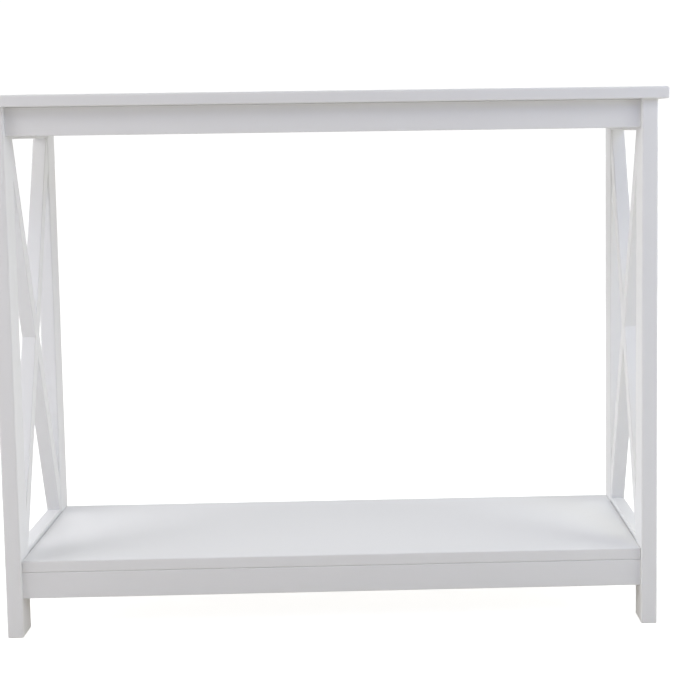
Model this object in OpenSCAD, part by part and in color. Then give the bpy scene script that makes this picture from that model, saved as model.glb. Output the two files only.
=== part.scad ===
// Console table with X-braced end frames and a low shelf.
// Units are millimetres. +X is to the viewer's right, +Y is to the rear, +Z is up.
// The origin is on the floor, under the middle of the tabletop.

/* [Tabletop] */
// Length of the tabletop, along X
top_l = 1000; // [850:10:1200]
// Depth of the tabletop, front to rear
top_w = 305; // [290:5:400]
// Height of the tabletop's upper face above the floor
table_h = 805; // [720:1:900]
// Thickness of the tabletop and of the shelf
board_t = 17.5; // [15:0.5:18]
// Overhang of the tabletop beyond the legs at each end
over_x = 13.5; // [8:0.5:25]
// Overhang of the tabletop beyond the legs at the front and the rear
over_y = 12; // [8:0.5:20]

/* [Legs] */
// Width of a leg, along X
leg_x = 24; // [24:1:32]
// Depth of a leg, along Y
leg_y = 42; // [42:1:48]
// Radius on the long edges of a leg
leg_r = 2.5; // [1:0.5:3]

/* [Long rails] */
// Thickness of the aprons and of the lower rails
rail_t = 15; // [15:1:18]
// Height of the front and rear aprons
apron_h = 42; // [40:1:60]
// Height of the front and rear lower rails
low_rail_h = 39.5; // [38:0.5:50]
// Step from the leg's face back to the apron's face
apron_step = 8; // [3:1:8]
// Step from the leg's face back to the lower rail's and the shelf's face
low_step = 5; // [3:1:8]

/* [Shelf] */
// Height of the shelf's upper face above the floor
shelf_h = 115; // [110:1:220]
// Gap between each end of the shelf and the leg faces beside it
shelf_gap = 0.2; // [0.1:0.1:2]

/* [End frames] */
// Thickness of the side rails and of the cross slats, along X
frame_t = 22; // [20:1:22]
// Height of the upper side rails
side_top_h = 46; // [44:1:60]
// How far the lower side rails stand above the shelf's upper face
side_rise = 6.5; // [0:0.5:12]
// Width of a cross slat, across its run
slat_w = 21; // [18:0.5:24]
// Length of the slat's foot that rests on the lower side rail
slat_seat = 4.3; // [3:0.1:8]

/* [Edges] */
// Radius on the upper edges of the tabletop
top_r = 3.5; // [1:0.5:5]
// Radius on the tabletop's lower edges and corners, and on the shelf's long edges
board_r = 2; // [0.5:0.5:3]
// Radius on the long edges of rails and slats
rail_r = 1.5; // [0.5:0.5:2.5]

/* [Hardware] */
// Diameter of the dowels in the rail joints
dowel_d = 8; // [6:1:8]
// Diameter of the dowels at the slat ends
slat_dowel_d = 6; // [5:0.5:6]
// Radial gap around dowels, bolts and screws, for glue or assembly
slip = 0.1; // [0.05:0.05:0.2]

/* [Hidden] */
$fn = 64;
cut = 1;                    // how far a cutting shape runs past the face that it opens
paint = [0.94, 0.94, 0.93];
beech = [0.80, 0.66, 0.47];
steel = [0.70, 0.71, 0.73];
zinc = [0.62, 0.63, 0.65];
plastic = [0.96, 0.96, 0.95];

// Legs: the four corners of the footprint
top_under = table_h - board_t;
leg_out_x = top_l / 2 - over_x;
leg_out_y = top_w / 2 - over_y;
leg_in_x = leg_out_x - leg_x;
leg_in_y = leg_out_y - leg_y;
leg_mid_x = leg_out_x - leg_x / 2;
foot_r = 1.5;               // radius round the foot of a leg

// Long rails and shelf
rail_l = 2 * leg_in_x;
apron_z = top_under - apron_h;
apron_mid_y = leg_out_y - apron_step - rail_t / 2;
shelf_under = shelf_h - board_t;
low_rail_z = shelf_under - low_rail_h;
low_mid_y = leg_out_y - low_step - rail_t / 2;
// [middle in Y, middle in Z] of the two long rails
long_rails = [[apron_mid_y, apron_z + apron_h / 2], [low_mid_y, low_rail_z + low_rail_h / 2]];
shelf_l = rail_l - 2 * shelf_gap;
shelf_w = 2 * (leg_out_y - low_step);
shelf_corner_r = 1;         // seen from above
shelf_end_r = 0.5;          // where the shelf's ends meet the end frames

// End frames
side_l = 2 * leg_in_y;
side_top_z = top_under - side_top_h;
side_low_top = shelf_h + side_rise;
side_low_h = side_low_top - low_rail_z;
opening_h = side_top_z - side_low_top;
cross_z = side_low_top + opening_h / 2;

// The slat's lower edge ends slat_seat short of the corner between leg and lower rail,
// which sets its lean from the vertical
slat_reach = leg_in_y - slat_seat;
slat_diagonal = sqrt(pow(opening_h / 2, 2) + pow(slat_reach, 2));
slat_lean = atan2(slat_reach, opening_h / 2) + asin(slat_w / 2 / slat_diagonal);
slat_blank_l = 2 * slat_diagonal + 4 * slat_w;

// Dowels: heights, and the length that lies in the rail or slat and in the leg
side_dowel_in = 15;         // the same in the side rail and in the leg
side_dowel_spread = 0.24;   // either side of the rail's middle, as a part of its height
side_dowel_zs = [for (f = [0.5 - side_dowel_spread, 0.5 + side_dowel_spread])
    each [side_top_z + f * side_top_h, low_rail_z + f * side_low_h]];
slat_dowel_rise = 29;       // from the side rail to the dowel in a slat's end
slat_dowel_in = 9.5;
slat_dowel_leg = 14;
slat_dowel_zs = [side_low_top + slat_dowel_rise, side_top_z - slat_dowel_rise];
rail_dowel_in = 18;
rail_dowel_leg = 12;
rail_dowel_drop = 12;       // below the middle of a long rail

// Connecting bolt and cam lock in each end of a long rail
bolt_rise = 8;              // above the middle of a long rail
bolt_thread_d = 6;
bolt_thread_l = 11.5;
bolt_stem_d = 5;
bolt_head_d = 7;
bolt_head_l = 3.2;
bolt_hole_d = 8;
cam_reach = 34;             // from the rail's end to the middle of the cam lock
cam_d = 15;
cam_pocket_h = rail_t - 2.5;
cam_h = cam_pocket_h - 1;
cam_cavity_d = 9.4;
cam_cavity_h = 7.6;
cam_slot_w = 5.8;
cap_d = 17.5;
cap_h = 1.2;
cap_plug_h = 0.8;
cap_crown_r = 0.8;

// Angle brackets that hold the tabletop down
bracket_leg = 20;
bracket_w = 16;
bracket_t = 1.6;
bracket_hole_d = 4.2;
bracket_hole_at = 12;
bracket_x = 300;            // from the middle, along each apron
screw_d = 3.5;
screw_l = 12;
screw_head_d = 7.2;
screw_head_h = 2.2;
screw_tip_l = 3;

// Screws that rise through the lower rails into the shelf
shelf_screw_xs = [-300, 0, 300];
shelf_screw_d = 4;
shelf_screw_l = 30;
shelf_screw_head_d = 8;
shelf_screw_head_h = 2.6;
shelf_screw_bite = 12;      // length inside the shelf
shelf_screw_z = shelf_under + shelf_screw_bite - shelf_screw_l; // where the head seats
counterbore_d = 9;
clearance_d = 4.6;

// ---------- shapes that repeat ----------

// Rectangle from the origin, with round corners
module round_rect(w, h, r) {
    translate([r, 0]) square([w - 2 * r, h]);
    translate([0, r]) square([w, h - 2 * r]);
    for (x = [r, w - r], y = [r, h - r]) translate([x, y]) circle(r);
}

// The same, centred on the origin
module round_rect_mid(w, h, r) {
    translate([-w / 2, -h / 2]) round_rect(w, h, r);
}

// Bars along each axis, centred across and running from 0 to length l
module bar_x(l, wy, hz, r) {
    rotate([90, 0, 90]) linear_extrude(l) round_rect_mid(wy, hz, r);
}
module bar_y(l, wx, hz, r) {
    rotate([-90, 0, 0]) linear_extrude(l) round_rect_mid(wx, hz, r);
}
module bar_z(l, wx, wy, r) {
    linear_extrude(l) round_rect_mid(wx, wy, r);
}

// Section of a board, centred across and standing on z = 0. r is [below, above].
module board_section(w, t, r) {
    translate([-w / 2, r[0]]) square([w, t - r[0] - r[1]]);
    translate([r[0] - w / 2, 0]) square([w - 2 * r[0], t - r[1]]);
    translate([r[1] - w / 2, r[0]]) square([w - 2 * r[1], t - r[0]]);
    for (side = [-1, 1]) {
        translate([side * (w / 2 - r[0]), r[0]]) circle(r[0]);
        translate([side * (w / 2 - r[1]), t - r[1]]) circle(r[1]);
    }
}

// Board centred on the origin in X and Y, on z = 0. Its long edges and its ends each have
// their radii [below, above], and plan_r rounds its corners seen from above.
module eased_board(l, w, t, plan_r, long_r, end_r) {
    intersection() {
        bar_z(t, l, w, plan_r);
        translate([-l / 2, 0, 0]) rotate([90, 0, 90]) linear_extrude(l)
            board_section(w, t, long_r);
        translate([0, w / 2, 0]) rotate([90, 0, 0]) linear_extrude(w)
            board_section(l, t, end_r);
    }
}

// Round rods along +X and +Y
module rod_x(d, l) {
    rotate([0, 90, 0]) cylinder(d = d, h = l);
}
module rod_y(d, l) {
    rotate([-90, 0, 0]) cylinder(d = d, h = l);
}

// Carries a shape from the right-hand rear quarter to any quarter of the table
module to_quarter(side, end) {
    mirror([side < 0 ? 1 : 0, 0, 0]) mirror([0, end < 0 ? 1 : 0, 0]) children();
}
module each_quarter() {
    for (side = [-1, 1], end = [-1, 1]) to_quarter(side, end) children();
}

// Round dowel standing on z = 0, with eased ends
module dowel_body(d, l) {
    ease = 1;
    rotate_extrude() polygon([[0, 0], [d / 2 - ease, 0], [d / 2, ease],
        [d / 2, l - ease], [d / 2 - ease, l], [0, l]]);
}

// Pan-head wood screw along -Z: the head's seat is at z = 0 and the tip is below
module pan_screw(d, l, head_d, head_h, tip_l) {
    crown_d = 0.6 * head_d;
    recess_l = 0.55 * head_d;
    recess_w = 0.9;
    point_d = 0.6;
    difference() {
        union() {
            cylinder(d = head_d, h = head_h / 2);
            translate([0, 0, head_h / 2])
                cylinder(d1 = head_d, d2 = crown_d, h = head_h / 2);
            translate([0, 0, tip_l - l]) cylinder(d = d, h = l - tip_l);
            translate([0, 0, -l]) cylinder(d1 = point_d, d2 = d, h = tip_l);
        }
        for (turn = [0, 90]) rotate([0, 0, turn])
            translate([-recess_l / 2, -recess_w / 2, head_h / 3])
                cube([recess_l, recess_w, head_h]);
    }
}

// ---------- legs ----------

module leg_post() {
    intersection() {
        translate([leg_in_x, leg_in_y, 0])
            linear_extrude(top_under) round_rect(leg_x, leg_y, leg_r);
        // the two profiles run past the top, so that only the foot is eased
        translate([leg_in_x, leg_in_y + leg_y, 0]) rotate([90, 0, 0])
            linear_extrude(leg_y) round_rect(leg_x, top_under + leg_x, foot_r);
        translate([leg_in_x, leg_in_y, 0]) rotate([90, 0, 90])
            linear_extrude(leg_x) round_rect(leg_y, top_under + leg_y, foot_r);
    }
}

module leg(side, end) {
    color(paint) to_quarter(side, end) difference() {
        leg_post();
        // dowels of the side rails and the slats, from the face towards the opening
        for (z = side_dowel_zs) translate([leg_mid_x, leg_in_y - cut, z])
            rod_y(dowel_d + 2 * slip, side_dowel_in + cut);
        for (z = slat_dowel_zs) translate([leg_mid_x, leg_in_y - cut, z])
            rod_y(slat_dowel_d + 2 * slip, slat_dowel_leg + cut);
        // dowel and bolt of each long rail, from the inner face
        for (rail = long_rails) {
            translate([leg_in_x - cut, rail[0], rail[1] - rail_dowel_drop])
                rod_x(dowel_d + 2 * slip, rail_dowel_leg + cut);
            translate([leg_in_x - cut, rail[0], rail[1] + bolt_rise])
                rod_x(bolt_thread_d + 2 * slip, bolt_thread_l + cut);
        }
    }
}

// ---------- long rails ----------

// Rail between two legs at the rear, with its joint holes at both ends
module long_rail_blank(mid_y, z0, h) {
    mid_z = z0 + h / 2;
    inner_y = mid_y - rail_t / 2;
    difference() {
        translate([-leg_in_x, mid_y, mid_z]) bar_x(rail_l, rail_t, h, rail_r);
        for (side = [-1, 1]) mirror([side < 0 ? 1 : 0, 0, 0]) {
            translate([leg_in_x - rail_dowel_in, mid_y, mid_z - rail_dowel_drop])
                rod_x(dowel_d + 2 * slip, rail_dowel_in + cut);
            translate([leg_in_x - cam_reach, mid_y, mid_z + bolt_rise])
                rod_x(bolt_hole_d, cam_reach + cut);
            translate([leg_in_x - cam_reach, inner_y - cut, mid_z + bolt_rise])
                rod_y(cam_d, cam_pocket_h + cut);
        }
    }
}

module apron(end) {
    color(paint) to_quarter(1, end) difference() {
        long_rail_blank(apron_mid_y, apron_z, apron_h);
        for (x = [-bracket_x, bracket_x])
            translate([x, apron_mid_y - rail_t / 2 - cut, top_under - bracket_hole_at])
                rod_y(screw_d + 2 * slip, screw_l - bracket_t + slip + cut);
    }
}

module lower_rail(end) {
    color(paint) to_quarter(1, end) difference() {
        long_rail_blank(low_mid_y, low_rail_z, low_rail_h);
        for (x = shelf_screw_xs) translate([x, low_mid_y, 0]) {
            translate([0, 0, low_rail_z - cut])
                cylinder(d = counterbore_d, h = shelf_screw_z - low_rail_z + cut);
            translate([0, 0, low_rail_z]) cylinder(d = clearance_d, h = low_rail_h + cut);
        }
    }
}

// ---------- side rails ----------

module side_rail(side, z0, h) {
    difference() {
        translate([side * leg_mid_x, -leg_in_y, z0 + h / 2])
            bar_y(side_l, frame_t, h, rail_r);
        for (end = [-1, 1], z = side_dowel_zs)
            if (z > z0 && z < z0 + h) to_quarter(side, end)
                translate([leg_mid_x, leg_in_y - side_dowel_in, z])
                    rod_y(dowel_d + 2 * slip, side_dowel_in + cut);
    }
}

module upper_side_rail(side) {
    inner_x = leg_mid_x - frame_t / 2;
    color(paint) difference() {
        side_rail(side, side_top_z, side_top_h);
        to_quarter(side, 1) translate([inner_x - cut, 0, top_under - bracket_hole_at])
            rod_x(screw_d + 2 * slip, screw_l - bracket_t + slip + cut);
    }
}

module lower_side_rail(side) {
    color(paint) side_rail(side, low_rail_z, side_low_h);
}

// ---------- cross slats ----------

// Straight slat on the middle plane x = 0, cut to the opening between legs and rails.
// lean is +1 where its top is at the front (it falls to the rear), -1 where it rises
module slat_bar(lean) {
    intersection() {
        translate([0, 0, cross_z]) rotate([lean * slat_lean, 0, 0])
            translate([0, 0, -slat_blank_l / 2]) bar_z(slat_blank_l, frame_t, slat_w, rail_r);
        translate([-frame_t / 2, -leg_in_y, side_low_top])
            cube([frame_t, side_l, opening_h]);
    }
}

// Half of the frame's thickness: half = +1 is the outer half, -1 the inner
module slat_half(half) {
    translate([half < 0 ? -frame_t : 0, -leg_in_y, side_low_top])
        cube([frame_t, side_l, opening_h]);
}

// Slat halved over its partner, with a dowel hole in each end
module slat(side, lean) {
    keep_inner = lean > 0 ? 1 : -1;
    color(paint) mirror([side < 0 ? 1 : 0, 0, 0]) translate([leg_mid_x, 0, 0])
        difference() {
            slat_bar(lean);
            intersection() {
                slat_bar(-lean);
                slat_half(keep_inner);
            }
            slat_end_dowels(lean, slat_dowel_d + 2 * slip, slat_dowel_in, cut);
        }
}

// The two dowels of one slat: each lies along Y, in the slat by in_l and past it by out_l
module slat_end_dowels(lean, d, in_l, out_l) {
    for (i = [0, 1]) {
        end = (i == 0 ? 1 : -1) * lean;
        mirror([0, end < 0 ? 1 : 0, 0])
            translate([0, leg_in_y - in_l, slat_dowel_zs[i]]) rod_y(d, in_l + out_l);
    }
}

// ---------- boards ----------

module tabletop() {
    pilot_l = screw_l - bracket_t + slip;
    color(paint) difference() {
        translate([0, 0, top_under])
            eased_board(top_l, top_w, board_t, board_r, [board_r, top_r], [board_r, top_r]);
        for (at = bracket_screws_up) translate([at[0], at[1], top_under - cut])
            cylinder(d = screw_d + 2 * slip, h = pilot_l + cut);
    }
}

module lower_shelf() {
    color(paint) difference() {
        translate([0, 0, shelf_under])
            eased_board(shelf_l, shelf_w, board_t, shelf_corner_r,
                [board_r, board_r], [shelf_end_r, shelf_end_r]);
        for (x = shelf_screw_xs, end = [-1, 1])
            translate([x, end * low_mid_y, shelf_under - cut])
                cylinder(d = shelf_screw_d + 2 * slip, h = shelf_screw_bite + slip + cut);
    }
}

// ---------- dowels ----------

module frame_dowels(side) {
    color(beech) for (end = [-1, 1], z = side_dowel_zs) to_quarter(side, end)
        translate([leg_mid_x, leg_in_y - side_dowel_in, z])
            rotate([-90, 0, 0]) dowel_body(dowel_d, 2 * side_dowel_in);
}

module slat_dowels(side) {
    color(beech) for (end = [-1, 1], z = slat_dowel_zs) to_quarter(side, end)
        translate([leg_mid_x, leg_in_y - slat_dowel_in, z])
            rotate([-90, 0, 0]) dowel_body(slat_dowel_d, slat_dowel_in + slat_dowel_leg);
}

module long_rail_dowels() {
    color(beech) each_quarter() for (rail = long_rails)
        translate([leg_in_x - rail_dowel_in, rail[0], rail[1] - rail_dowel_drop])
            rotate([0, 90, 0]) dowel_body(dowel_d, rail_dowel_in + rail_dowel_leg);
}

// ---------- connecting bolts, cam locks and caps ----------

// Bolt along +X from the cam's middle (x = 0) into the leg
module connecting_bolt() {
    translate([-bolt_head_l / 2, 0, 0]) rod_x(bolt_head_d, bolt_head_l);
    rod_x(bolt_stem_d, cam_reach);
    translate([cam_reach, 0, 0]) rod_x(bolt_thread_d, bolt_thread_l);
}

// Cam lock along +Y into its pocket, turned so that its slot faces the leg
module cam_lock() {
    bolt_y = rail_t / 2;
    face_y = cam_pocket_h - cam_h;
    recess_l = 8;
    recess_w = 1.6;
    recess_h = 1.5;
    difference() {
        translate([0, face_y, 0]) rod_y(cam_d - 2 * slip, cam_h);
        translate([0, bolt_y - cam_cavity_h / 2, 0]) rod_y(cam_cavity_d, cam_cavity_h);
        translate([0, bolt_y, 0]) rod_x(cam_slot_w, cam_d);
        for (turn = [0, 90]) rotate([0, turn, 0])
            translate([-recess_l / 2, face_y - cut, -recess_w / 2])
                cube([recess_l, cut + recess_h, recess_w]);
    }
}

// Cap whose rim lies on the rail and whose plug fills the mouth of the pocket
module cam_lock_cap() {
    crown_at = [cap_d / 2 - cap_crown_r, cap_h - cap_crown_r];
    rotate([90, 0, 0]) rotate_extrude() {
        square([crown_at[0], cap_h]);
        square([cap_d / 2, crown_at[1]]);
        translate(crown_at) intersection() {
            circle(cap_crown_r);
            square(cap_crown_r);
        }
        translate([0, -cap_plug_h]) square([cam_d / 2 - slip, cap_plug_h + crown_at[1]]);
    }
}

// Puts a shape at every cam's axis, on the rail's inner face
module at_cams() {
    each_quarter() for (rail = long_rails)
        translate([leg_in_x - cam_reach, rail[0] - rail_t / 2, rail[1] + bolt_rise])
            children();
}

module connecting_bolts() {
    color(steel) at_cams() translate([0, rail_t / 2, 0]) connecting_bolt();
}

module cam_locks() {
    color(zinc) at_cams() cam_lock();
}

module cam_lock_caps() {
    color(plastic) at_cams() cam_lock_cap();
}

// ---------- angle brackets and screws ----------

// Corner of each bracket: [x, y, turn about Z]. At turn 0 it lies on a rear rail
bracket_spots = [for (x = [-bracket_x, bracket_x], end = [-1, 1])
        [x, end * (apron_mid_y - rail_t / 2), end > 0 ? 0 : 180],
    for (side = [-1, 1]) [side * (leg_mid_x - frame_t / 2), 0, -90 * side]];

// Place of each screw that rises into the tabletop
bracket_screws_up = [for (s = bracket_spots)
    [s[0] + bracket_hole_at * sin(s[2]), s[1] - bracket_hole_at * cos(s[2])]];

// Bracket in the corner between the tabletop's underside (z = 0) and a rail's face (y = 0)
module angle_bracket() {
    bend_r = 1.6;
    difference() {
        translate([-bracket_w / 2, 0, 0]) rotate([90, 0, 90]) linear_extrude(bracket_w)
            difference() {
                union() {
                    translate([-bracket_leg, -bracket_t]) square([bracket_leg, bracket_t]);
                    translate([-bracket_t, -bracket_leg]) square([bracket_t, bracket_leg]);
                }
                difference() {
                    translate([-bend_r, -bend_r]) square(bend_r + cut);
                    translate([-bend_r, -bend_r]) circle(bend_r);
                }
            }
        translate([0, -bracket_hole_at, -bracket_t - cut])
            cylinder(d = bracket_hole_d, h = bracket_t + 2 * cut);
        translate([0, -bracket_t - cut, -bracket_hole_at])
            rod_y(bracket_hole_d, bracket_t + 2 * cut);
    }
}

// Puts a shape at every bracket, turned to its rail
module at_brackets() {
    for (s = bracket_spots) translate([s[0], s[1], top_under]) rotate([0, 0, s[2]]) children();
}

module bracket_screw() {
    pan_screw(screw_d, screw_l, screw_head_d, screw_head_h, screw_tip_l);
}

module angle_brackets() {
    color(steel) at_brackets() angle_bracket();
}

module bracket_screws() {
    color(steel) at_brackets() {
        translate([0, -bracket_hole_at, -bracket_t]) rotate([180, 0, 0]) bracket_screw();
        translate([0, -bracket_t, -bracket_hole_at]) rotate([90, 0, 0]) bracket_screw();
    }
}

module shelf_screws() {
    color(steel) for (x = shelf_screw_xs, end = [-1, 1])
        translate([x, end * low_mid_y, shelf_screw_z]) rotate([180, 0, 0])
            pan_screw(shelf_screw_d, shelf_screw_l, shelf_screw_head_d,
                shelf_screw_head_h, screw_tip_l);
}

// ---------- assembly ----------

tabletop();
lower_shelf();
apron(-1);  // front_apron
apron(1);  // rear_apron
lower_rail(-1);  // front_lower_rail
lower_rail(1);  // rear_lower_rail
leg(-1, -1);  // left_front_leg
leg(-1, 1);  // left_rear_leg
leg(1, -1);  // right_front_leg
leg(1, 1);  // right_rear_leg
upper_side_rail(-1);  // left_upper_side_rail
lower_side_rail(-1);  // left_lower_side_rail
upper_side_rail(1);  // right_upper_side_rail
lower_side_rail(1);  // right_lower_side_rail
slat(-1, 1);  // left_slat_falling
slat(-1, -1);  // left_slat_rising
slat(1, 1);  // right_slat_falling
slat(1, -1);  // right_slat_rising
frame_dowels(-1);  // left_frame_dowels
frame_dowels(1);  // right_frame_dowels
slat_dowels(-1);  // left_slat_dowels
slat_dowels(1);  // right_slat_dowels
long_rail_dowels();
connecting_bolts();
cam_locks();
cam_lock_caps();
angle_brackets();
bracket_screws();
shelf_screws();
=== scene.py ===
"""White console table with X-braced ends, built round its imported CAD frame."""
import math

import bmesh
import bpy
from mathutils import Matrix, Quaternion, Vector


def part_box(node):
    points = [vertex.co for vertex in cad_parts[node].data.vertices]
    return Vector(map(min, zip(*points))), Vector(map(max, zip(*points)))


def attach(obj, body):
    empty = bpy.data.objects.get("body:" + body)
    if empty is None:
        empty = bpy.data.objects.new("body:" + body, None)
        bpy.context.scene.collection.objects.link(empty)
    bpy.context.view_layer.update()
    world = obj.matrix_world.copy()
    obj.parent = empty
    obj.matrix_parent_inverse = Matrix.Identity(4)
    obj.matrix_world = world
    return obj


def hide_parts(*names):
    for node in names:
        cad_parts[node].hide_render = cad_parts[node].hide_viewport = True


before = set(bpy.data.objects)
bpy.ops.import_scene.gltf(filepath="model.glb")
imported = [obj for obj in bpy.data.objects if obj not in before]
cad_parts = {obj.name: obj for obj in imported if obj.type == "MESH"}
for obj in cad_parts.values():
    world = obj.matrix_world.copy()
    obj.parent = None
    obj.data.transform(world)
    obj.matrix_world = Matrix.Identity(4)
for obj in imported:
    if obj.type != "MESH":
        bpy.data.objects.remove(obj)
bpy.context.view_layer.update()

MM = 0.001
SAME = 1e-7             # new points closer than this are one point
NEAR = 1e-6             # slack when points are told apart or compared with an edge

# Rounding of the members' edges
TOP_R = 3.5 * MM        # upper edges of the tabletop
BOARD_R = 2.0 * MM      # the boards' other long edges, and the tabletop's corners
SHELF_CORNER_R = 1.0 * MM
SHELF_END_R = 0.5 * MM
LEG_R = 2.5 * MM
FOOT_R = 1.5 * MM
RAIL_R = 1.5 * MM
END_EASE = 0.4 * MM     # sanded ends, which leave a hairline at each joint
ARC_STEPS = 6           # faces round each quarter circle
ARRIS_FADE = 2.5 * MM   # how far the painted edge highlight fades from an edge onto the flat
LOOP_GAP = 40 * MM      # spacing of the edge loops along a member
SHARP_ANGLE = 35        # degrees between faces, above which an edge stays sharp
FLAT_WEIGHT = 90        # how strongly the large flat faces set the shading
SEED_STEP = 1.7         # how far apart the paint's noise starts from piece to piece

# Cross slats
SLAT_W = 21 * MM
SLAT_SEAT = 4.3 * MM    # from the opening's corner to the slat's lower edge

# Fasteners and their holes
DOWELS = ("left_frame_dowels", "right_frame_dowels", "left_slat_dowels", "right_slat_dowels",
          "long_rail_dowels")
SLIP = 0.1 * MM         # gap round a fastener in its hole
BOLT_HEAD_L = 3.2 * MM
BOLT_HOLE_R = 4.0 * MM
BOLT_THREAD_R = 3.0 * MM
BRACKET_SCREW_R = 1.75 * MM
SHELF_SCREW_R = 2.0 * MM
SHELF_SCREW_HEAD = 2.6 * MM
CLEARANCE_R = 2.3 * MM
COUNTERBORE_R = 4.5 * MM
POCKET_PAST = 2.0 * MM  # how far a cam lock's cutter runs out of the rail's inner face
BORE_FACES = 32         # faces round a hole
PAST = 0.5 * MM         # how far a cutter runs out into the air

# Camera: in front of the table, a little right of the middle and just below the top
CAMERA_AT = (0.0677, -1.9121, 0.748)
CAMERA_TURN = 1.275     # degrees to the right of straight ahead
CAMERA_DIP = 4.639      # degrees below level
CAMERA_ROLL = -0.812    # degrees anticlockwise
CAMERA_LENS = 62.592
CAMERA_SHIFT = (-0.0714, -0.1743)

# Light: how brightly the room glows from each side and from the floor, as red, green and blue
GLOW_LEFT = (1.47, 1.48, 1.53)
GLOW_RIGHT = (1.11, 1.08, 1.07)
GLOW_FRONT = (0.06, 0.04, 0.04)
GLOW_REAR = (1.08, 1.08, 1.10)
GLOW_FLOOR = (0.120, 0.096, 0.054)
SEEN_WHITE = 1.05       # the room as the camera sees it
FLOOR_SEEN = (0.80, 0.80, 0.80)     # glow of the floor to the camera only
FLOOR_GREY = (0.60, 0.60, 0.60)
FLOOR_RADIUS = 30.0

# Lamps: where each stands, what it points at, its size, its watts and its colour
SOFTBOXES = {
    "overhead_softbox": ((0, 0.1, 2.6), (0, 0.1, 0.8), (1.8, 0.4), 7.0, (1.0, 1.0, 1.0)),
    "front_top_softbox": ((0, -2.2, 2.8), (0, 0, 0.4), (3.4, 1.4), 18.6, (1.0, 0.98, 0.93)),
    "left_top_softbox": ((-2.4, -0.6, 2.2), (0, 0, 0.4), (1.6, 2.4), 7.8, (1.0, 0.95, 0.72)),
    "left_softbox": ((-1.6, -0.45, 0.9), (0, -0.1, 0.5), (0.8, 1.4), 11.4, (0.92, 0.91, 0.98)),
    "right_softbox": ((1.6, -0.45, 0.9), (0, -0.1, 0.5), (0.8, 1.4), 11.4, (0.97, 1.0, 0.96)),
    "rear_softbox": ((0, 2.8, 1.0), (0, 0, 0.3), (3.4, 1.0), 15.8, (0.95, 1.0, 1.0)),
    "window_light": ((1.1, -1.5, 1.5), (0.3, 0, 0.6), (0.7, 0.7), 3.2, (0.12, 0.30, 1.0)),
}


# ---------- node trees ----------

class Nodes:
    """A node tree, with short ways to add and join nodes."""

    def __init__(self, tree):
        self.tree = tree

    def put(self, socket, value):
        """Joins another node's output to a socket, or gives the socket a fixed value."""
        if hasattr(value, "is_linked"):
            self.tree.links.new(value, socket)
        else:
            socket.default_value = value

    def add(self, kind, **inputs):
        node = self.tree.nodes.new("ShaderNode" + kind)
        for key, value in inputs.items():
            self.put(node.inputs[key.replace("_", " ")], value)
        return node

    def math(self, operation, a, b):
        node = self.add("Math")
        node.operation = operation
        self.put(node.inputs[0], a)
        self.put(node.inputs[1], b)
        return node.outputs[0]


class Finish(Nodes):
    """A material's node tree, with the patterns that the finishes are made of."""

    def __init__(self, name):
        self.material = bpy.data.materials.new(name)
        self.material.use_nodes = True
        super().__init__(self.material.node_tree)
        self.shader = self.tree.nodes["Principled BSDF"]

    def set(self, **values):
        for key, value in values.items():
            self.put(self.shader.inputs[key.replace("_", " ")], value)

    def attribute(self, name, output):
        node = self.add("Attribute")
        node.attribute_name = name
        return node.outputs[output]

    def place(self, where, scale):
        """The same points with each axis scaled, so that a pattern is finer along some of them."""
        return self.add("Mapping", Vector=where, Scale=scale).outputs["Vector"]

    def noise(self, where, scale, detail, seed=None):
        node = self.add("TexNoise")
        if seed is not None:
            node.noise_dimensions = "4D"
            self.put(node.inputs["W"], seed)
        self.put(node.inputs["Vector"], where)
        self.put(node.inputs["Scale"], scale)
        self.put(node.inputs["Detail"], detail)
        return node.outputs["Fac"]

    def ramp(self, value, low, high, colours):
        """From the first colour at low to the second at high."""
        node = self.add("ValToRGB", Fac=value)
        for element, at, colour in zip(node.color_ramp.elements, (low, high), colours):
            element.position = at
            element.color = (*colour, 1)
        return node.outputs["Color"]

    def grey(self, value, low, high, dark, light):
        return self.ramp(value, low, high, ((dark,) * 3, (light,) * 3))

    def bump(self, height, strength, distance, under=None):
        node = self.add("Bump", Height=height, Strength=strength, Distance=distance)
        if under is not None:
            self.put(node.inputs["Normal"], under)
        return node.outputs["Normal"]


# ---------- camera, light and floor ----------

def link(thing):
    """Puts an object in the scene."""
    bpy.context.scene.collection.objects.link(thing)
    return thing


def make_camera():
    data = bpy.data.cameras.new("camera")
    data.lens = CAMERA_LENS
    data.shift_x, data.shift_y = CAMERA_SHIFT
    camera = link(bpy.data.objects.new("camera", data))
    camera.location = CAMERA_AT
    turn, dip = math.radians(CAMERA_TURN), math.radians(CAMERA_DIP)
    ahead = Vector((math.sin(turn) * math.cos(dip), math.cos(turn) * math.cos(dip), -math.sin(dip)))
    camera.rotation_mode = "QUATERNION"
    camera.rotation_quaternion = (ahead.to_track_quat("-Z", "Y")
                                  @ Quaternion((0, 0, 1), math.radians(CAMERA_ROLL)))
    bpy.context.scene.camera = camera


def area_light(name, at, aim, size, power, colour):
    data = bpy.data.lights.new(name, "AREA")
    data.shape = "RECTANGLE"
    data.size, data.size_y = size
    data.energy = power
    data.color = colour
    light = link(bpy.data.objects.new(name, data))
    light.location = at
    light.rotation_mode = "QUATERNION"
    light.rotation_quaternion = (Vector(aim) - Vector(at)).to_track_quat("-Z", "Y")
    light.visible_camera = light.visible_glossy = False


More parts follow.
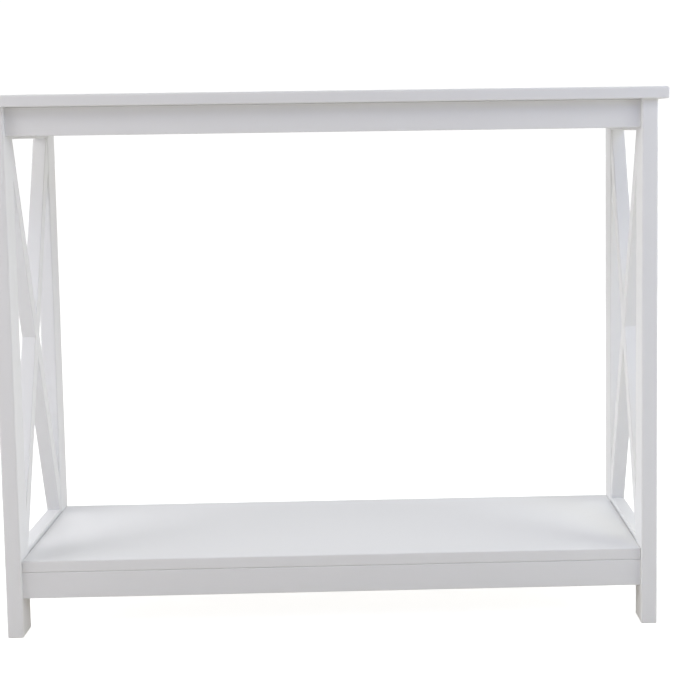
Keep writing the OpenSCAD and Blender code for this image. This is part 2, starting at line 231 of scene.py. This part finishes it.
def make_world():
    """A white room. It glows from the sides and the rear and hardly from the front, and it is
    full white where the camera looks."""
    world = bpy.data.worlds.new("white_room")
    world.use_nodes = True
    world.node_tree.nodes.clear()
    n = Nodes(world.node_tree)
    towards = n.add("SeparateXYZ", Vector=n.add("TexCoord").outputs["Generated"])
    x, y = towards.outputs[:2]
    sides = ((x, -1, GLOW_LEFT), (x, 1, GLOW_RIGHT), (y, -1, GLOW_FRONT), (y, 1, GLOW_REAR))
    glow = (0, 0, 0)
    for axis, sign, colour in sides:
        facing = n.math("MAXIMUM", n.math("MULTIPLY", axis, sign), 0.0)
        lobe = n.add("VectorMath", Vector=colour)
        lobe.operation = "SCALE"
        n.put(lobe.inputs["Scale"], n.math("MULTIPLY", facing, facing))
        total = n.add("VectorMath")
        n.put(total.inputs[0], glow)
        n.put(total.inputs[1], lobe.outputs[0])
        glow = total.outputs[0]
    lit = n.add("Background", Color=glow)
    seen = n.add("Background", Color=(1, 1, 1, 1), Strength=SEEN_WHITE)
    mix = n.add("MixShader", Fac=n.add("LightPath").outputs["Is Camera Ray"])
    n.put(mix.inputs[1], lit.outputs[0])
    n.put(mix.inputs[2], seen.outputs[0])
    n.add("OutputWorld", Surface=mix.outputs[0])
    bpy.context.scene.world = world


def make_floor():
    """A pale floor: almost white to the camera, grey with a faint warm glow to the table."""
    build = bmesh.new()
    bmesh.ops.create_circle(build, cap_ends=True, segments=96, radius=FLOOR_RADIUS)
    floor = as_object("floor", build)
    m = Finish("pale_floor")
    glow = m.add("Mix")
    glow.data_type = "RGBA"
    m.put(glow.inputs["Factor"], m.add("LightPath").outputs["Is Camera Ray"])
    m.put(glow.inputs["A"], (*GLOW_FLOOR, 1))
    m.put(glow.inputs["B"], (*FLOOR_SEEN, 1))
    m.set(Base_Color=(*FLOOR_GREY, 1), Roughness=0.9, Specular_IOR_Level=0.1,
          Emission_Color=glow.outputs["Result"], Emission_Strength=1.0)
    floor.data.materials.append(m.material)


# ---------- materials ----------

def satin_paint():
    """Sprayed satin white: faint clouds, orange peel, grain that shows through, and a painted
    highlight that lightens the edges in patches.
    """
    m = Finish("satin_white_paint")
    grain = m.attribute("grain", "Vector")
    member = m.attribute("member", "Fac")
    arris = m.attribute("arris", "Fac")
    cloud = m.noise(grain, 7.0, 3.0, member)
    tone = m.ramp(cloud, 0.30, 0.70, ((0.775, 0.785, 0.797), (0.803, 0.808, 0.812)))
    # painted highlight: the patches where the edges are lightened
    highlight_patches = m.grey(m.noise(grain, 90.0, 4.0, member), 0.40, 0.70, 0.0, 1.0)
    edge_highlight = m.math("MULTIPLY", m.math("MULTIPLY", arris, highlight_patches), 0.45)
    # painted highlight: the edges are mixed toward a paler white, and their roughness is lowered
    colour = m.add("MixRGB", Fac=edge_highlight, Color1=tone, Color2=(0.835, 0.832, 0.820, 1))
    sheen = m.grey(m.noise(grain, 22.0, 5.0, member), 0.25, 0.75, 0.37, 0.47)
    fibres = m.noise(m.place(grain, (12, 420, 420)), 1.0, 3.0, member)
    peel = m.noise(grain, 520.0, 2.0)
    under = m.bump(fibres, 0.10, 0.4 * MM)
    roughness = m.math("SUBTRACT", sheen, m.math("MULTIPLY", edge_highlight, 0.2))
    m.set(Base_Color=colour.outputs["Color"], Roughness=roughness, IOR=1.48,
          Normal=m.bump(peel, 0.06, 0.3 * MM, under), Coat_Weight=0.10, Coat_Roughness=0.30)
    return m.material


def bare_beech():
    """Pale streaked wood."""
    m = Finish("bare_beech")
    where = m.add("TexCoord").outputs["Object"]
    rings = m.noise(m.place(where, (500, 500, 60)), 1.0, 4.0)
    m.set(Base_Color=m.ramp(rings, 0.3, 0.7, ((0.50, 0.33, 0.17), (0.66, 0.48, 0.28))),
          Normal=m.bump(rings, 0.2, 0.2 * MM), Roughness=0.62)
    return m.material


def plated_steel():
    """Bright zinc plating: cloudy blue-grey with fine rolling marks."""
    m = Finish("zinc_plated_steel")
    where = m.add("TexCoord").outputs["Object"]
    cloud = m.noise(where, 160.0, 4.0)
    marks = m.noise(m.place(where, (2500, 120, 2500)), 1.0, 2.0)
    m.set(Base_Color=m.ramp(cloud, 0.3, 0.7, ((0.56, 0.58, 0.61), (0.72, 0.73, 0.75))),
          Roughness=m.grey(cloud, 0.3, 0.7, 0.24, 0.38),
          Normal=m.bump(marks, 0.15, 0.1 * MM), Metallic=1.0)
    return m.material


def cast_zinc():
    """Dull grey, with the fine grit of a die casting."""
    m = Finish("cast_zinc")
    grit = m.noise(m.add("TexCoord").outputs["Object"], 900.0, 4.0)
    m.set(Base_Color=m.ramp(grit, 0.3, 0.7, ((0.36, 0.37, 0.39), (0.50, 0.51, 0.53))),
          Roughness=m.grey(grit, 0.3, 0.7, 0.46, 0.58),
          Normal=m.bump(grit, 0.25, 0.1 * MM), Metallic=1.0)
    return m.material


def moulded_plastic():
    """White caps: fine spark-eroded texture."""
    m = Finish("moulded_white_plastic")
    where = m.add("TexCoord").outputs["Object"]
    spark = m.add("TexVoronoi", Vector=where, Scale=1400.0)
    cloud = m.noise(where, 90.0, 2.0)
    m.set(Base_Color=m.ramp(cloud, 0.3, 0.7, ((0.76, 0.77, 0.77), (0.80, 0.81, 0.81))),
          Roughness=m.grey(cloud, 0.3, 0.7, 0.38, 0.46),
          Normal=m.bump(spark.outputs["Distance"], 0.12, 0.08 * MM))
    return m.material


# ---------- shapes ----------

# A member's own axes: the first two run across it and the third along it
AXES = {"X": Matrix(((0, 0, 1), (1, 0, 0), (0, 1, 0))),
        "Y": Matrix(((1, 0, 0), (0, 0, 1), (0, 1, 0))),
        "Z": Matrix.Identity(3)}


def edge_inset(r, s):
    """How far a quarter round of radius r has drawn in, at distance s from where it starts."""
    return r - math.sqrt(r * r - (r - s) ** 2) if s < r else 0.0


def ring(half_u, half_v, round_r, end_r, s):
    """Rounded rectangle at distance s from a member's end, with a point on each flat beside
    every corner. round_r and end_r are as in Member."""
    points = []
    for turn, (su, sv) in enumerate(((1, 1), (-1, 1), (-1, -1), (1, -1))):
        r, over = round_r[sv > 0], end_r[sv > 0]
        mid = Vector((su * (half_u - r), sv * (half_v - r)))
        reach = Vector((r - edge_inset(end_r[2], s), r - edge_inset(over, s)))
        angles = [math.radians(90 * (turn + k / ARC_STEPS)) for k in range(ARC_STEPS + 1)]
        arc = [mid + reach * Vector((math.cos(a), math.sin(a))) for a in angles]
        start, end = (Vector((-math.sin(a), math.cos(a))) for a in (angles[0], angles[-1]))
        points += [arc[0] - start * ARRIS_FADE, *arc, arc[-1] + end * ARRIS_FADE]
    return points


def stations(length, low_r, high_r):
    """Where the rings lie along a member, closely spaced where its ends are rounded."""
    def end_arc(r):
        return [r - r * math.cos(math.radians(90 * k / ARC_STEPS)) for k in range(ARC_STEPS + 1)]
    first, last = low_r + ARRIS_FADE, length - high_r - ARRIS_FADE
    count = max(1, round((last - first) / LOOP_GAP))
    middle = [first + (last - first) * k / count for k in range(count + 1)]
    return end_arc(low_r) + middle + [length - s for s in reversed(end_arc(high_r))]


class Member:
    """A straight bar or board. round_r has the radii of its long edges, at the low and at the
    high side. low_end and high_end have those round an end: low side, high side, corners."""

    def __init__(self, low, high, axis, round_r, low_end, high_end):
        self.turn = AXES[axis].to_4x4()
        self.mid = (low + high) / 2
        half = self.turn.to_3x3().inverted() @ ((high - low) / 2)
        self.half = Vector(abs(x) for x in half)
        self.round_r, self.low_end, self.high_end = round_r, low_end, high_end

    @property
    def place(self):
        return Matrix.Translation(self.mid) @ self.turn

    def build(self):
        build = bmesh.new()
        rings = []
        for along in stations(2 * self.half.z, max(self.low_end), max(self.high_end)):
            near_low = along < self.half.z
            end_r = self.low_end if near_low else self.high_end
            outline = ring(self.half.x, self.half.y, self.round_r, end_r,
                           along if near_low else 2 * self.half.z - along)
            rings.append([build.verts.new((p.x, p.y, along - self.half.z)) for p in outline])
        for near, far in zip(rings, rings[1:]):
            for k in range(len(near)):
                build.faces.new((near[k - 1], near[k], far[k], far[k - 1]))
        caps = [build.faces.new(rings[0]), build.faces.new(rings[-1])]
        bmesh.ops.inset_individual(build, faces=caps, thickness=ARRIS_FADE)
        build.transform(self.place)
        bmesh.ops.remove_doubles(build, verts=build.verts, dist=SAME)
        bmesh.ops.recalc_face_normals(build, faces=build.faces)
        return build

    def arris(self, point):
        """1 on a rounded edge or end, 0 on a flat."""
        r = self.round_r[point.y > 0] + NEAR
        past_u = abs(point.x) > self.half.x - r
        past_v = abs(point.y) > self.half.y - r
        at_end = (point.z < max(self.low_end) + NEAR - self.half.z
                  or point.z > self.half.z - max(self.high_end) - NEAR)
        return float((past_u and past_v) or (at_end and (past_u or past_v)))


def even(r):
    """The same radius on every edge of an end."""
    return (r, r, r)


def leaning_slat(opening_low, opening_high, lean):
    """The blank of a slat: a bar through the middle of the opening, leaning about X."""
    mid = (opening_low + opening_high) / 2
    half = (opening_high - opening_low) / 2
    reach = half.y - SLAT_SEAT
    diagonal = math.hypot(half.z, reach)
    angle = math.atan2(reach, half.z) + math.asin(SLAT_W / 2 / diagonal)
    size = Vector((half.x, SLAT_W / 2, diagonal + 2 * SLAT_W))
    slat = Member(mid - size, mid + size, "Z", (RAIL_R, RAIL_R), even(END_EASE), even(END_EASE))
    slat.turn = Matrix.Rotation(lean * angle, 4, "X")
    return slat


def cut_away(build, at, normal):
    """Removes what lies on the normal's side of a plane, and closes the cut."""
    geometry = build.verts[:] + build.edges[:] + build.faces[:]
    bmesh.ops.bisect_plane(build, geom=geometry, plane_co=at, plane_no=normal, clear_outer=True,
                           dist=SAME)
    open_edges = [e for e in build.edges if e.is_boundary]
    bmesh.ops.holes_fill(build, edges=open_edges, sides=0)


def within(build, low, high):
    """Cuts a shape to a box across Y and Z."""
    for axis in (Vector((0, 1, 0)), Vector((0, 0, 1))):
        cut_away(build, high, axis)
        cut_away(build, low, -axis)


def as_object(name, build):
    """An object in the scene from a finished build."""
    mesh = bpy.data.meshes.new(name)
    build.to_mesh(mesh)
    build.free()
    return link(bpy.data.objects.new(name, mesh))


def cylinder(low, high, axis, radius, low_past=0, high_past=0):
    """Cutter for a round hole along one axis of a box, centred across it."""
    along = "XYZ".index(axis)
    mid = (low + high) / 2
    start, end = mid.copy(), mid.copy()
    start[along], end[along] = low[along] - low_past, high[along] + high_past
    build = bmesh.new()
    place = Matrix.Translation((start + end) / 2) @ AXES[axis].to_4x4()
    bmesh.ops.create_cone(build, cap_ends=True, segments=BORE_FACES, radius1=radius, radius2=radius,
                          depth=end[along] - start[along], matrix=place)
    bmesh.ops.recalc_face_normals(build, faces=build.faces)
    return as_object("cutter", build)


def carve(piece, cutters):
    """Takes the cutters out of a piece for good."""
    for cutter in cutters:
        hole = piece.modifiers.new("hole", "BOOLEAN")
        hole.operation, hole.solver, hole.object = "DIFFERENCE", "EXACT", cutter
    graph = bpy.context.evaluated_depsgraph_get()
    mesh = bpy.data.meshes.new_from_object(piece.evaluated_get(graph), depsgraph=graph)
    piece.modifiers.clear()
    piece.data = mesh
    for cutter in cutters:
        bpy.data.objects.remove(cutter)


# ---------- holes for the fasteners ----------

def islands(node):
    """The box of each separate fastener in a CAD node."""
    build = bmesh.new()
    build.from_mesh(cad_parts[node].data)
    bmesh.ops.remove_doubles(build, verts=build.verts, dist=NEAR)
    left, found = set(build.verts), []
    while left:
        group, edge = set(), [left.pop()]
        while edge:
            vert = edge.pop()
            group.add(vert)
            near = {e.other_vert(vert) for e in vert.link_edges} & left
            left -= near
            edge += near
        low = Vector(min(v.co[k] for v in group) for k in range(3))
        high = Vector(max(v.co[k] for v in group) for k in range(3))
        found.append((low, high))
    build.free()
    return sorted(found, key=lambda box: tuple(box[0]))


def longest_axis(low, high):
    size = high - low
    return "XYZ"[max(range(3), key=lambda k: size[k])]


def touches(box, other):
    """Whether two boxes overlap."""
    return all(box[0][k] < other[1][k] and box[1][k] > other[0][k] for k in range(3))


def dowel_holes(box):
    """One hole for each dowel that reaches into a piece's box."""
    for node in DOWELS:
        for low, high in FASTENERS[node]:
            if touches(box, (low, high)):
                radius = (high.z - low.z) / 2
                yield cylinder(low, high, longest_axis(low, high), radius + SLIP)


def bracket_screw_holes(box):
    for low, high in FASTENERS["bracket_screws"]:
        if touches(box, (low, high)):
            yield cylinder(low, high, longest_axis(low, high), BRACKET_SCREW_R + SLIP)


def bolt_hole(box, is_leg):
    """The bolt's thread in a leg, or its clearance hole in a rail as far as the cam lock."""
    leg_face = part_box("right_front_leg")[0].x
    for low, high in FASTENERS["connecting_bolts"]:
        if not touches(box, (low, high)):
            continue
        low, high = low.copy(), high.copy()
        right = low.x > 0
        if is_leg:
            if right:
                low.x = leg_face - PAST
            else:
                high.x = PAST - leg_face
            yield cylinder(low, high, "X", BOLT_THREAD_R + SLIP)
        else:
            in_head = BOLT_HEAD_L / 2
            if right:
                low.x, high.x = low.x + in_head, leg_face + PAST
            else:
                low.x, high.x = -leg_face - PAST, high.x - in_head
            yield cylinder(low, high, "X", BOLT_HOLE_R)


def cam_pockets(box):
    """A round pocket for each cam lock, open at the rail's inner face."""
    for low, high in FASTENERS["cam_locks"]:
        if touches(box, (low, high)):
            rear = low.y > 0
            yield cylinder(low, high, "Y", (high.x - low.x) / 2 + SLIP,
                           POCKET_PAST if rear else 0, 0 if rear else POCKET_PAST)


def shelf_screw_holes(box, is_rail):
    """Counterbore and clearance hole in a lower rail, or the thread's hole in the shelf."""
    for low, high in FASTENERS["shelf_screws"]:
        if not touches(box, (low, high)):
            continue
        if is_rail:
            seat = Vector((high.x, high.y, low.z + SHELF_SCREW_HEAD))
            under = Vector((low.x, low.y, box[0].z - PAST))
            yield cylinder(under, seat, "Z", COUNTERBORE_R)
            over = Vector((high.x, high.y, box[1].z + PAST))
            yield cylinder(under, over, "Z", CLEARANCE_R)
        else:
            yield cylinder(Vector((low.x, low.y, box[0].z - PAST)), high, "Z", SHELF_SCREW_R + SLIP)


FASTENERS = {node: islands(node) for node in (
    *DOWELS, "connecting_bolts", "cam_locks", "bracket_screws", "shelf_screws")}


# ---------- painted wood pieces ----------

def paint_data(piece, member, seed):
    """Stores, for the paint, each point's place along the grain, its arris and its member."""
    mesh = piece.data
    to_member = member.place.inverted()
    grain = mesh.attributes.new("grain", "FLOAT_VECTOR", "POINT")
    arris = mesh.attributes.new("arris", "FLOAT", "POINT")
    own = mesh.attributes.new("member", "FLOAT", "POINT")
    for vert in mesh.vertices:
        point = to_member @ vert.co
        grain.data[vert.index].vector = (point.z, point.x, point.y)
        arris.data[vert.index].value = member.arris(point)
        own.data[vert.index].value = seed


def finish_wood(piece, node, member):
    """Smooth shading, paint and the CAD node that this piece stands for."""
    piece.data.polygons.foreach_set("use_smooth", [True] * len(piece.data.polygons))
    piece.data.set_sharp_from_angle(angle=math.radians(SHARP_ANGLE))
    paint_data(piece, member, seed=SEED_STEP * len(PIECES))
    normals = piece.modifiers.new("even_normals", "WEIGHTED_NORMAL")
    normals.keep_sharp = True
    normals.weight = FLAT_WEIGHT
    piece.data.materials.clear()
    piece.data.materials.append(PAINT)
    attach(piece, "root")
    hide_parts(node)
    PIECES.append(piece)


def wood(node, axis, round_r, low_end, high_end, *hole_makers):
    """One straight painted member in the place of its CAD node, with its holes."""
    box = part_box(node)
    member = Member(*box, axis, round_r, low_end, high_end)
    piece = as_object(node + "_painted", member.build())
    carve(piece, [cutter for holes in hole_makers for cutter in holes(box)])
    finish_wood(piece, node, member)


def board(node, long_r, end_r, *hole_makers):
    wood(node, "X", long_r, end_r, end_r, *hole_makers)


def long_rail(node, *hole_makers):
    wood(node, "X", (RAIL_R, RAIL_R), even(END_EASE), even(END_EASE), dowel_holes, cam_pockets,
         lambda box: bolt_hole(box, is_leg=False), *hole_makers)


def leg(node):
    wood(node, "Z", (LEG_R, LEG_R), even(FOOT_R), even(END_EASE), dowel_holes,
         lambda box: bolt_hole(box, is_leg=True))


def side_rail(node, *hole_makers):
    wood(node, "Y", (RAIL_R, RAIL_R), even(END_EASE), even(END_EASE), dowel_holes, *hole_makers)


def slats(side):
    """The two crossed slats of one end, halved over each other."""
    outward = 1 if side == "right" else -1
    for kind, lean, cut_outer in (("falling", 1, True), ("rising", -1, False)):
        node = "_".join((side, "slat", kind))
        low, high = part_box(node)
        member = leaning_slat(low, high, lean)
        build = member.build()
        within(build, low, high)
        piece = as_object(node + "_painted", build)
        partner = leaning_slat(low, high, -lean).build()
        middle = (low + high) / 2
        cut_away(partner, middle, Vector((-outward if cut_outer else outward, 0, 0)))
        carve(piece, [as_object("cutter", partner), *dowel_holes((low, high))])
        finish_wood(piece, node, member)


# ---------- the table ----------

make_camera()
make_world()
make_floor()
for name, setting in SOFTBOXES.items():
    area_light(name, *setting)
bpy.context.scene.view_settings.view_transform = "Standard"

PAINT = satin_paint()
PIECES = []

board("tabletop", (BOARD_R, TOP_R), (BOARD_R, TOP_R, BOARD_R), bracket_screw_holes)
board("lower_shelf", (BOARD_R, BOARD_R), (SHELF_END_R, SHELF_END_R, SHELF_CORNER_R),
      lambda box: shelf_screw_holes(box, is_rail=False))
for end in ("front", "rear"):
    long_rail(end + "_apron", bracket_screw_holes)
    long_rail(end + "_lower_rail", lambda box: shelf_screw_holes(box, is_rail=True))
for side in ("left", "right"):
    leg(side + "_front_leg")
    leg(side + "_rear_leg")
    side_rail(side + "_upper_side_rail", bracket_screw_holes)
    side_rail(side + "_lower_side_rail")
    slats(side)

HARDWARE = {
    plated_steel: ("connecting_bolts", "angle_brackets", "bracket_screws", "shelf_screws"),
    cast_zinc: ("cam_locks",),
    moulded_plastic: ("cam_lock_caps",),
    bare_beech: DOWELS,
}
for finish, nodes in HARDWARE.items():
    material = finish()
    for node in nodes:
        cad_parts[node].data.materials.clear()
        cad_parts[node].data.materials.append(material)
